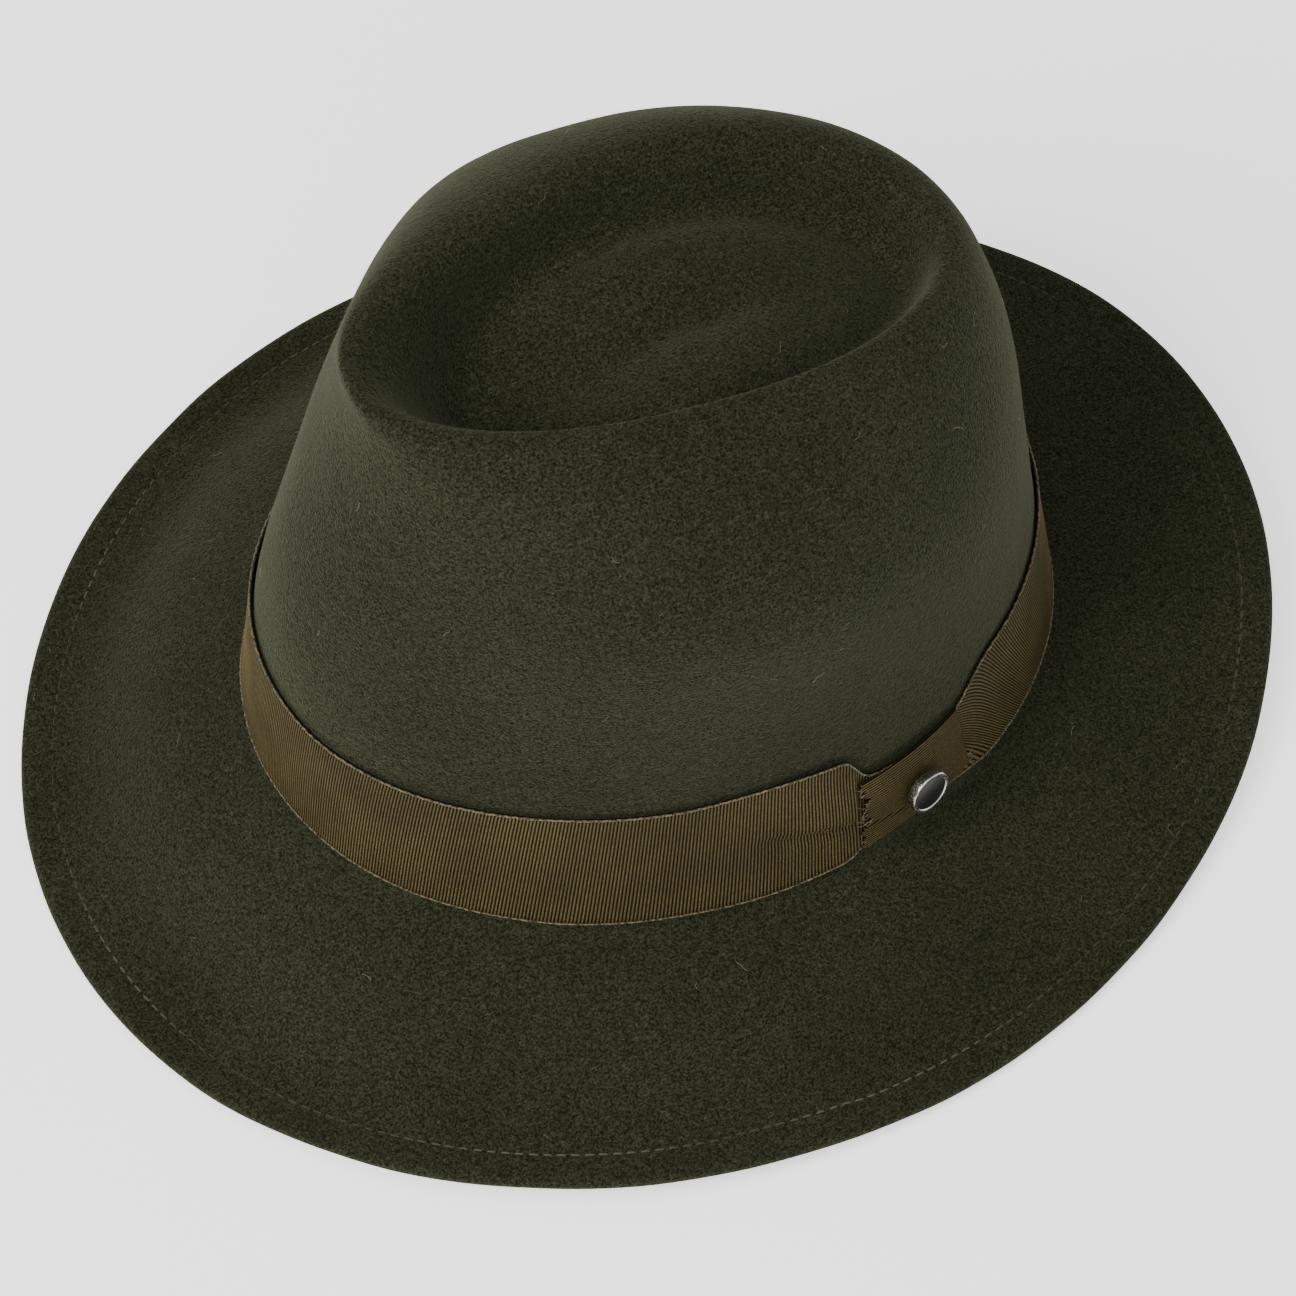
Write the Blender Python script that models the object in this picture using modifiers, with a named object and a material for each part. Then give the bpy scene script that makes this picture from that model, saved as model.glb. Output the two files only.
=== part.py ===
"""A blocked felt hat: teardrop crown, turned-under brim edge, ribbon band, ribbon knot and round pin.

Units are metres and +Z is up. The hat's front faces -Y and the wearer's left is +X. The form is worked
out upright, with the brim's break at height zero, then leaned back as the dipped front brim makes it,
and set down on the floor at z = 0.
"""
import math
from typing import NamedTuple

import bmesh
import bpy
import numpy as np
from mathutils import Matrix, Vector

# Head opening, measured outside the felt at the foot of the crown
HEAD_LENGTH = 0.2075
HEAD_WIDTH = 0.1615

# Brim, measured level from the foot of the crown to the folded edge
BRIM_FRONT = 0.054
BRIM_BACK = 0.056
BRIM_SIDE = 0.0545
FRONT_DIP = 0.0335
SIDE_DIP = 0.0185
BACK_LIFT = 0.007

# Crown, measured up from the brim's break to the top of its rim; it stands a little towards the
# wearer's right, and the middle of its dent a little less so
CROWN_HEIGHT = 0.135
CROWN_SWAY = -0.0095
DENT_DEPTH = 0.0315
DENT_ASIDE = 0.002
BREAK_RADIUS = 0.003
PINCH_ANGLE = math.radians(38)
PINCH_SPREAD = math.radians(24)
PINCH_LENGTHWAYS = 0.35

# Felt and its turned-under edge
FELT = 0.0018
FOLD_RADIUS = 0.0021
HEM_WIDTH = 0.009

# How the hat rests: the lean comes from the dipped front brim, and the felt flattens where it touches
LEAN = math.radians(4.75)
FLATTENED = 0.0007

# Ribbon band and its gathering at the knot; heights are shares of the ribbon's width
RIBBON_WIDTH = 0.0365
RIBBON = 0.0008
SEAT_GAP = 0.0003
BAND_FOOT = 0.03
BAND_TOP = 1.03
GATHER_FOOT = 0.11
GATHER_TOP = 0.30
GATHER_SPREAD = math.radians(13.5)

# The knot's tab, which lies along the band, and the height of its middle as a share of the ribbon
KNOT_ANGLE = math.radians(108.3)
KNOT_MIDDLE = 0.45
KNOT_LENGTH = 0.032
KNOT_WIDTH = 0.0255
KNOT_THICK = 0.0016
KNOT_BULGE = 0.0010

# Pin, a disc on a short post
PIN_DIAMETER = 0.0116
PIN_HEIGHT = 0.0042
PIN_DISC = 0.0024
PIN_POST = 0.0040
PIN_RIM = 0.0009

# Fineness of the meshes
AROUND = 64
FOLD_STEPS = 4
BRIM_STEPS = 6
BREAK_STEPS = 2
BAND_STEPS = 2
BAND_AROUND = 128
KNOT_STEPS = 6
PIN_STEPS = 28


class BrimRow(NamedTuple):
    """A ring of the brim: its share of the brim's width, and its shares of the edge's height."""

    name: str
    out: float
    at_front: float
    at_side: float
    at_back: float


class CrownRow(NamedTuple):
    """A ring of the crown: shares of the head's halves, its two shapes, and its shares of a height."""

    name: str
    front: float
    back: float
    side: float
    tear: float
    pinch: float
    at_front: float
    at_side: float
    at_back: float
    steps: int


BRIM_ROWS = (
    BrimRow("edge", 1.00, 1.00, 1.00, 1.00),
    BrimRow("outer", 0.80, 0.955, 0.98, 0.74),
    BrimRow("middle", 0.48, 0.46, 0.46, 0.30),
    BrimRow("inner", 0.18, 0.12, 0.12, 0.08),
)

# Heights are shares of the crown's height above the break
WALL_ROWS = (
    CrownRow("wall", 0.925, 0.845, 0.905, 0.00, 0.07, 0.565, 0.560, 0.520, 3),
    CrownRow("shoulder", 0.785, 0.730, 0.700, -0.15, 0.11, 0.935, 0.900, 0.860, 3),
    CrownRow("rim", 0.755, 0.640, 0.475, 0.19, 0.00, 0.990, 1.000, 0.930, 3),
)

# Heights are shares of the dent's depth, down from the top of the crown
DENT_ROWS = (
    CrownRow("slope", 0.640, 0.590, 0.410, 0.05, 0.00, 0.42, 0.17, 0.46, 2),
    CrownRow("valley", 0.530, 0.540, 0.350, 0.00, 0.00, 0.88, 0.50, 0.82, 2),
    CrownRow("dome", 0.370, 0.420, 0.265, 0.00, 0.00, 0.76, 0.42, 0.64, 2),
)
DOME_CENTRE = 0.56

# Share of the head's halves at the ribbon's top edge
RIBBON_TOP = (0.990, 0.912, 0.905)


def pinch_bump(angle):
    """One at the two front quarters of the crown, falling off to both sides."""
    total = 0.0
    for centre in (PINCH_ANGLE, -PINCH_ANGLE):
        away = (angle - centre + math.pi) % (2 * math.pi) - math.pi
        total = total + np.exp(-((away / PINCH_SPREAD) ** 2))
    return total


def oval(angle, front, back, side, heights, tear=0.0, pinch=0.0):
    """Points of one ring; heights are those at its front, sides and back."""
    cosine = np.cos(angle)
    bump = pinch_bump(angle)
    across = side * np.sin(angle) * (1 - pinch * bump) * (1 - tear * ((1 + cosine) / 2) ** 2)
    along = np.where(cosine > 0, -front * cosine, -back * cosine) * (1 - PINCH_LENGTHWAYS * pinch * bump)
    at_front, at_side, at_back = heights
    end = np.where(cosine > 0, at_front, at_back)
    up = at_side + (end - at_side) * cosine ** 2
    return np.stack([across, along, up], axis=-1)


def chord_knots(rings):
    """Places of the rings along the profile, by the mean distance between them."""
    chords = np.linalg.norm(np.diff(rings, axis=0), axis=2).mean(axis=1)
    return np.concatenate([[0.0], np.cumsum(chords)])


def spline_weights(knots, places):
    """Weights of a natural cubic spline through the knots, for each place along it."""
    count = len(knots)
    gaps = np.diff(knots)
    curve = np.eye(count)
    slopes = np.zeros((count, count))
    for i in range(1, count - 1):
        before, after = gaps[i - 1], gaps[i]
        curve[i, i - 1:i + 2] = before, 2 * (before + after), after
        slopes[i, i - 1:i + 2] = 6 / before, -6 / before - 6 / after, 6 / after
    bend = np.linalg.solve(curve, slopes)
    first = np.clip(np.searchsorted(knots, places, side="right") - 1, 0, count - 2)
    gap = gaps[first]
    left = (knots[first + 1] - places) / gap
    right = 1 - left
    rows = np.arange(len(places))
    weights = np.zeros((len(places), count))
    weights[rows, first] += left
    weights[rows, first + 1] += right
    weights += ((left ** 3 - left) * gap ** 2 / 6)[:, None] * bend[first]
    weights += ((right ** 3 - right) * gap ** 2 / 6)[:, None] * bend[first + 1]
    return weights


def follow(rings, knots, places):
    """Rings of the smooth surface through the given rings, at places along its profile."""
    return np.einsum("pk,knd->pnd", spline_weights(knots, np.asarray(places, float)), rings)


def stepped(knots, steps):
    """Places along the profile, with so many steps after each knot."""
    places = [np.linspace(a, b, n, endpoint=False) for a, b, n in zip(knots[:-1], knots[1:], steps)]
    return np.concatenate(places)


def brim_rings(angle):
    """Rings of the brim from its edge to its break."""
    half_length, half_width = HEAD_LENGTH / 2, HEAD_WIDTH / 2
    rings = []
    for row in BRIM_ROWS:
        heights = (-FRONT_DIP * row.at_front, -SIDE_DIP * row.at_side, BACK_LIFT * row.at_back)
        reach = [half_length + BRIM_FRONT * row.out, half_length + BRIM_BACK * row.out]
        rings.append(oval(angle, *reach, half_width + BRIM_SIDE * row.out, heights))
    break_reach = [half + BREAK_RADIUS for half in (half_length, half_length, half_width)]
    rings.append(oval(angle, *break_reach, (0.0, 0.0, 0.0)))
    return np.stack(rings)


def crown_rings(angle):
    """Rings of the crown from its foot over the rim to the dome's centre."""
    half_length, half_width = HEAD_LENGTH / 2, HEAD_WIDTH / 2
    foot = BREAK_RADIUS
    top = BREAK_RADIUS + RIBBON_WIDTH
    front, back, side = RIBBON_TOP
    rings = [oval(angle, half_length, half_length, half_width, (foot, foot, foot))]
    rings.append(oval(angle, front * half_length, back * half_length, side * half_width, (top, top, top)))
    for row in WALL_ROWS + DENT_ROWS:
        shares = np.array([row.at_front, row.at_side, row.at_back])
        heights = CROWN_HEIGHT * shares if row in WALL_ROWS else CROWN_HEIGHT - DENT_DEPTH * shares
        reach = (row.front * half_length, row.back * half_length, row.side * half_width)
        ring = oval(angle, *reach, heights, row.tear, row.pinch)
        if row in DENT_ROWS:
            ring[:, 0] += DENT_ASIDE
        rings.append(ring)
    rings.append(np.full_like(rings[0], (DENT_ASIDE, 0.0, CROWN_HEIGHT - DENT_DEPTH * DOME_CENTRE)))
    return swayed(np.stack(rings))


def swayed(points):
    """Crown points moved to the side, more the higher they stand above the ribbon."""
    above = (points[..., 2] - RIBBON_WIDTH) / (CROWN_HEIGHT - RIBBON_WIDTH)
    points[..., 0] += CROWN_SWAY * np.maximum(above, 0.0)
    return points


def break_rings(brim, crown):
    """Rings of the rounded break, on a smooth curve from the brim's last ring to the crown's foot."""
    leave = brim[-1] - brim[-2]
    arrive = crown[1] - crown[0]
    reach = np.linalg.norm(crown[0] - brim[-1], axis=1, keepdims=True)
    leave = leave / np.linalg.norm(leave, axis=1, keepdims=True) * reach
    arrive = arrive / np.linalg.norm(arrive, axis=1, keepdims=True) * reach
    rings = []
    for step in range(1, BREAK_STEPS + 1):
        t = step / (BREAK_STEPS + 1)
        start = (2 * t ** 3 - 3 * t ** 2 + 1) * brim[-1] + (t ** 3 - 2 * t ** 2 + t) * leave
        finish = (3 * t ** 2 - 2 * t ** 3) * crown[0] + (t ** 3 - t ** 2) * arrive
        rings.append(start + finish)
    return np.stack(rings)


def outward_normals(grid):
    """Unit normals of a grid of rings that run from the brim's edge to the crown's top."""
    along = np.gradient(grid, axis=0)
    around = np.roll(grid, -1, axis=1) - np.roll(grid, 1, axis=1)
    normals = np.cross(around, along)
    return normals / np.linalg.norm(normals, axis=2, keepdims=True)


class HatForm:
    """The felt's outer face as a grid of rings, upright, with the places of the ribbon on it."""

    def __init__(self):
        self.angle = np.arange(AROUND) * 2 * math.pi / AROUND
        brim_shape = brim_rings(self.angle)
        brim_knots = chord_knots(brim_shape)
        inner = np.linspace(HEM_WIDTH, brim_knots[-1], BRIM_STEPS + 1)[1:]
        brim = follow(brim_shape, brim_knots, np.concatenate([[0, HEM_WIDTH / 2, HEM_WIDTH], inner]))
        crown_shape = crown_rings(self.angle)
        crown_knots = chord_knots(crown_shape)
        steps = [BAND_STEPS, 2] + [row.steps for row in WALL_ROWS + DENT_ROWS]
        crown = follow(crown_shape, crown_knots, stepped(crown_knots, steps))
        self.dome_centre = Vector(crown_shape[-1, 0])
        self.foot_ring = len(brim) + BREAK_STEPS
        self.rings = np.concatenate([brim, break_rings(brim, crown), crown])
        self.normals = outward_normals(self.rings)

    def hem_rings(self):
        """Rings of the turned-under edge, from the hem's raw end out round the fold."""
        drop = 2 * FOLD_RADIUS
        hem = [self.rings[i] - self.normals[i] * drop for i in (2, 1)]
        outward = self.rings[0] - self.rings[1]
        outward /= np.linalg.norm(outward, axis=1, keepdims=True)
        fold = []
        for step in range(FOLD_STEPS, 0, -1):
            turn = math.pi * step / FOLD_STEPS
            down = self.normals[0] * FOLD_RADIUS * (1 - math.cos(turn))
            fold.append(self.rings[0] + outward * FOLD_RADIUS * math.sin(turn) - down)
        return np.stack(hem + fold)

    def off_crown(self, angle, height, lift):
        """Points lifted off the foot of the crown; height is a share of the ribbon's width."""
        rows = self.foot_ring + np.asarray(height) * BAND_STEPS
        columns = (np.asarray(angle) % (2 * math.pi)) / (2 * math.pi) * AROUND
        low = np.clip(np.floor(rows).astype(int), self.foot_ring, self.foot_ring + BAND_STEPS - 1)
        left = np.floor(columns).astype(int) % AROUND
        up, across = (rows - low)[..., None], (columns - np.floor(columns))[..., None]
        points = 0
        for row, row_share in ((low, 1 - up), (low + 1, up)):
            for column, column_share in ((left, 1 - across), ((left + 1) % AROUND, across)):
                share = row_share * column_share
                points = points + share * (self.rings[row, column] + self.normals[row, column] * lift)
        return points


def set_down(points):
    """Upright points leaned back about the X axis, as the hat rests."""
    sine, cosine = math.sin(LEAN), math.cos(LEAN)
    x, y, z = points[..., 0], points[..., 1], points[..., 2]
    return np.stack([x, y * cosine + z * sine, z * cosine - y * sine], axis=-1)


def finish(name, colour, roughness, metallic=0.0):
    """A Principled material with the piece's colour, roughness and metallic value."""
    material = bpy.data.materials.new(name)
    material.use_nodes = True
    shader = material.node_tree.nodes["Principled BSDF"]
    shader.inputs["Base Color"].default_value = (*colour, 1.0)
    shader.inputs["Roughness"].default_value = roughness
    shader.inputs["Metallic"].default_value = metallic
    return material


def add_piece(name, mesh_source, material, collection):
    """A named object in the hat's collection, from a filled bmesh."""
    bmesh.ops.recalc_face_normals(mesh_source, faces=mesh_source.faces)
    mesh = bpy.data.meshes.new(name)
    mesh_source.to_mesh(mesh)
    mesh_source.free()
    mesh.materials.append(material)
    mesh.shade_smooth()
    piece = bpy.data.objects.new(name, mesh)
    collection.objects.link(piece)
    return piece


def loft(grid, closed_round=True, centre=None):
    """A bmesh skin over a grid of rings, with an optional last point that closes it."""
    skin = bmesh.new()
    rows = [[skin.verts.new(point) for point in ring] for ring in grid]
    last = len(rows[0]) if closed_round else len(rows[0]) - 1
    for lower, upper in zip(rows[:-1], rows[1:]):
        for i in range(last):
            j = (i + 1) % len(lower)
            skin.faces.new((lower[i], lower[j], upper[j], upper[i]))
    if centre is not None:
        tip = skin.verts.new(centre)
        top = rows[-1]
        for i in range(last):
            skin.faces.new((top[i], top[(i + 1) % len(top)], tip))
    return skin


def thicken(piece, thickness, outward):
    """Gives an open skin its wall, on the side that its normals point to or on the other."""
    wall = piece.modifiers.new("Wall", "SOLIDIFY")
    wall.thickness = thickness
    wall.offset = 1.0 if outward else -1.0
    wall.use_even_offset = False
    wall.use_rim = True
    return piece


def build_felt_body(form, floor, collection):
    """Crown and brim, one piece of felt, with its edge turned under."""
    grid = set_down(np.concatenate([form.hem_rings(), form.rings])) - floor
    touching = grid[..., 2] < FLATTENED
    grid[..., 2] = np.where(touching, 0.0, grid[..., 2])
    centre = Vector(set_down(np.array(form.dome_centre))) - Vector(floor)
    skin = loft(grid, centre=centre)
    material = finish("olive_felt", (0.025, 0.028, 0.014), 0.95)
    piece = add_piece("felt_body", skin, material, collection)
    return thicken(piece, FELT, outward=False)


def band_heights(angle):
    """Shares of the ribbon's width at its two edges, gathered in towards the knot."""
    away = (angle - KNOT_ANGLE + math.pi) % (2 * math.pi) - math.pi
    drawn = np.exp(-((away / GATHER_SPREAD) ** 4))
    return BAND_FOOT + GATHER_FOOT * drawn, BAND_TOP - GATHER_TOP * drawn


def build_hat_band(form, floor, collection):
    """The ribbon round the foot of the crown, drawn in where the knot binds it."""
    angle = np.arange(BAND_AROUND) * 2 * math.pi / BAND_AROUND
    lower, upper = band_heights(angle)
    rows = []
    for step in range(BAND_STEPS + 1):
        height = lower + (upper - lower) * step / BAND_STEPS
        rows.append(form.off_crown(angle, height, SEAT_GAP))
    skin = loft(set_down(np.stack(rows)) - floor)
    material = finish("bronze_ribbon", (0.055, 0.042, 0.018), 0.75)
    piece = add_piece("hat_band", skin, material, collection)
    return thicken(piece, RIBBON, outward=True)


def knot_span(form):
    """The angle round the crown that the knot's length takes up."""
    step = 0.01
    at = form.off_crown(np.array([KNOT_ANGLE - step, KNOT_ANGLE + step]), np.array([0.5, 0.5]), 0.0)
    metres_per_radian = np.linalg.norm(at[1] - at[0]) / (2 * step)
    return KNOT_LENGTH / metres_per_radian


def build_band_knot(form, floor, collection):
    """The flat ribbon tab that binds the band's two ends, bulging a little off it."""
    span = knot_span(form)
    half_height = KNOT_WIDTH / RIBBON_WIDTH / 2
    rows = []
    for step in range(KNOT_STEPS + 1):
        across = 2 * step / KNOT_STEPS - 1
        height = np.full(KNOT_STEPS + 1, KNOT_MIDDLE + half_height * across)
        along = np.linspace(-1, 1, KNOT_STEPS + 1)
        bulge = KNOT_BULGE * (1 - across ** 2) * (1 - along ** 2)
        lift = 2 * SEAT_GAP + RIBBON + bulge
        rows.append(form.off_crown(KNOT_ANGLE + along * span / 2, height, lift[:, None]))
    skin = loft(set_down(np.stack(rows)) - floor, closed_round=False)
    material = finish("knot_ribbon", (0.040, 0.030, 0.013), 0.75)
    piece = add_piece("band_knot", skin, material, collection)
    return thicken(piece, KNOT_THICK, outward=True)


def build_pin_stud(form, floor, collection):
    """The small round metal pin through the middle of the knot, its face left plain."""
    angle = KNOT_ANGLE + np.array([0.0, 0.0, 0.05])
    height = KNOT_MIDDLE + np.array([0.0, 0.1, 0.0])
    lift = 3 * SEAT_GAP + RIBBON + KNOT_THICK + KNOT_BULGE
    seat, above, beside = [Vector(p) for p in set_down(form.off_crown(angle, height, lift)) - floor]
    upward = (above - seat).normalized()
    outward = (beside - seat).cross(upward).normalized()
    sideways = upward.cross(outward)
    radius = PIN_DIAMETER / 2
    under = PIN_HEIGHT - PIN_DISC
    profile = (
        (0.0, PIN_HEIGHT - PIN_RIM / 2),
        (radius - 2 * PIN_RIM, PIN_HEIGHT - PIN_RIM / 2),
        (radius - PIN_RIM, PIN_HEIGHT),
        (radius - PIN_RIM / 3, PIN_HEIGHT - PIN_RIM / 4),
        (radius, PIN_HEIGHT - PIN_RIM),
        (radius, under + PIN_RIM / 3),
        (radius - PIN_RIM / 3, under),
        (PIN_POST / 2, under),
        (PIN_POST / 2, 0.0),
        (0.0, 0.0),
    )
    outline = bmesh.new()
    points = [outline.verts.new((x, 0.0, z)) for x, z in profile]
    for start, end in zip(points[:-1], points[1:]):
        outline.edges.new((start, end))
    material = finish("dark_nickel", (0.16, 0.16, 0.15), 0.28, 1.0)
    piece = add_piece("pin_stud", outline, material, collection)
    turn = piece.modifiers.new("Turn", "SCREW")
    turn.steps = PIN_STEPS
    turn.render_steps = PIN_STEPS
    turn.use_merge_vertices = True
    turn.merge_threshold = 0.00001
    axes = Matrix((sideways, upward, outward)).transposed()
    piece.matrix_world = Matrix.Translation(seat) @ axes.to_4x4()
    return piece


def resting_height(form):
    """The lowest point of the leaned felt, which the floor meets."""
    grid = set_down(np.concatenate([form.hem_rings(), form.rings]))
    centre_y = (grid[..., 1].min() + grid[..., 1].max()) / 2
    return np.array([0.0, centre_y, grid[..., 2].min()])


def main():
    """Clears the scene and builds the hat's four pieces."""
    for thing in list(bpy.data.objects):
        bpy.data.objects.remove(thing, do_unlink=True)
    collection = bpy.data.collections.new("felt_hat")
    bpy.context.scene.collection.children.link(collection)
    form = HatForm()
    floor = resting_height(form)
    build_felt_body(form, floor, collection)
    build_hat_band(form, floor, collection)
    build_band_knot(form, floor, collection)
    build_pin_stud(form, floor, collection)


main()
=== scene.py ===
"""Looks of a blocked wool felt hat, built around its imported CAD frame.

Everything is in metres in the CAD's own frame: +Z is up, the hat's front faces -Y and the wearer's left,
where the ribbon's knot and the pin are, is +X. The hat rests as by itself, so its crown leans back a
little: sizes named upright are those before that lean.
"""

import logging
import math
from dataclasses import dataclass, field
from enum import Enum
from typing import Callable, Optional, Sequence

import bmesh
import bpy
import numpy as np
from mathutils import Matrix, Vector
from mathutils.bvhtree import BVHTree

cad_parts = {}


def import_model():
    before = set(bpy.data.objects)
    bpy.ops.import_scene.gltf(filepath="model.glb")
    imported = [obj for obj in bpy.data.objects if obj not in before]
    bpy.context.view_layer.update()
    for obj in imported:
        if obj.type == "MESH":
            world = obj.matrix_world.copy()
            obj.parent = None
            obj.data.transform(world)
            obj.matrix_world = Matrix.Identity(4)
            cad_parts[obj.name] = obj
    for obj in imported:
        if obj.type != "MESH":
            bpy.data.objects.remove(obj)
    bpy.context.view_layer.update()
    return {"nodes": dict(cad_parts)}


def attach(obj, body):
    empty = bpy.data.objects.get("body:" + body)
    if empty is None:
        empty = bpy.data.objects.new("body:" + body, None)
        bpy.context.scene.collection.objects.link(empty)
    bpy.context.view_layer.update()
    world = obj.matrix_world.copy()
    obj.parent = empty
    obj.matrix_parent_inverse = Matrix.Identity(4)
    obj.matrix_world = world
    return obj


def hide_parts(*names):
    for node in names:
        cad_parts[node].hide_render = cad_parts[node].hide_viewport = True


LOG = logging.getLogger("felt_hat")
BODY = "root"
MILLIMETRE = 0.001
TURN = 2 * math.pi

Colour = tuple[float, float, float]


class Slot(Enum):
    """The record's material slots."""

    FELT = "felt"
    RIBBON = "ribbon"
    PIN = "pin_metal"


@dataclass(frozen=True)
class HatSizes:
    """Sizes that the looks share with the solids, in metres and radians."""

    lean: float = math.radians(4.75)
    break_height: float = 0.02481
    head_length: float = 0.2075
    head_width: float = 0.1615
    break_radius: float = 0.003
    ribbon_width: float = 0.0365
    band_foot: float = 0.03
    band_top: float = 1.03
    gather_foot: float = 0.11
    gather_top: float = 0.30
    gather_spread: float = math.radians(13.5)
    knot_angle: float = math.radians(108.3)
    knot_middle: float = 0.45
    pin_diameter: float = 0.0116
    pin_height: float = 0.0042
    pin_disc: float = 0.0024

    def rest(self, points: np.ndarray) -> np.ndarray:
        """Moves upright points to where the leaned hat has them.

        Args:
            points: points of the upright hat, with the brim's break at height zero.

        Returns:
            The same points in the CAD's frame.
        """
        sine, cosine = math.sin(self.lean), math.cos(self.lean)
        x, y, z = points[..., 0], points[..., 1], points[..., 2]
        leaned = [x, y * cosine + z * sine, z * cosine - y * sine + self.break_height]
        return np.stack(leaned, axis=-1)

    def upright(self, points: np.ndarray) -> np.ndarray:
        """Moves points of the CAD's frame back to the upright hat.

        Args:
            points: points in the CAD's frame.

        Returns:
            The same points upright, with the brim's break at height zero.
        """
        sine, cosine = math.sin(self.lean), math.cos(self.lean)
        x, y, z = points[..., 0], points[..., 1], points[..., 2] - self.break_height
        return np.stack([x, y * cosine - z * sine, z * cosine + y * sine], axis=-1)

    def from_knot(self, angle: np.ndarray) -> np.ndarray:
        """The signed angle round the crown from the knot.

        Args:
            angle: angles round the crown, from the front towards the wearer's left.

        Returns:
            The angles from the knot, between minus and plus half a turn.
        """
        return (angle - self.knot_angle + math.pi) % TURN - math.pi


SIZES = HatSizes()


def deselect_all() -> None:
    bpy.ops.object.select_all(action="DESELECT")


def make_active(piece: bpy.types.Object) -> None:
    """Selects one object alone and makes it the active one.

    Args:
        piece: the object.
    """
    deselect_all()
    piece.select_set(True)
    bpy.context.view_layer.objects.active = piece


def points_of(piece: bpy.types.Object) -> np.ndarray:
    """The mesh's points as an array.

    Args:
        piece: a mesh object.

    Returns:
        One row of three coordinates per point.
    """
    flat = np.empty(len(piece.data.vertices) * 3)
    piece.data.vertices.foreach_get("co", flat)
    return flat.reshape(-1, 3)


def normals_of(piece: bpy.types.Object) -> np.ndarray:
    """The mesh's point normals as an array.

    Args:
        piece: a mesh object.

    Returns:
        One unit normal per point.
    """
    flat = np.empty(len(piece.data.vertices) * 3)
    piece.data.vertex_normals.foreach_get("vector", flat)
    return flat.reshape(-1, 3)


def move_points(piece: bpy.types.Object, points: np.ndarray) -> None:
    """Lays the mesh's points at new places.

    Args:
        piece: a mesh object.
        points: one row of three coordinates per point.
    """
    piece.data.vertices.foreach_set("co", points.ravel())
    piece.data.update()


def apply_modifier(piece: bpy.types.Object, kind: str, **settings: object) -> None:
    """Adds a modifier with its settings and applies it.

    Args:
        piece: a mesh object.
        kind: the modifier's type.
        settings: its properties by name.
    """
    make_active(piece)
    modifier = piece.modifiers.new(kind.title(), kind)
    for name, value in settings.items():
        setattr(modifier, name, value)
    bpy.ops.object.modifier_apply(modifier=modifier.name)


def smooth(rising: np.ndarray) -> np.ndarray:
    """An eased step between zero and one.

    Args:
        rising: values that pass through zero to one.

    Returns:
        The eased values, held at zero and one outside.
    """
    held = np.clip(rising, 0.0, 1.0)
    return held * held * (3 - 2 * held)


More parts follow.
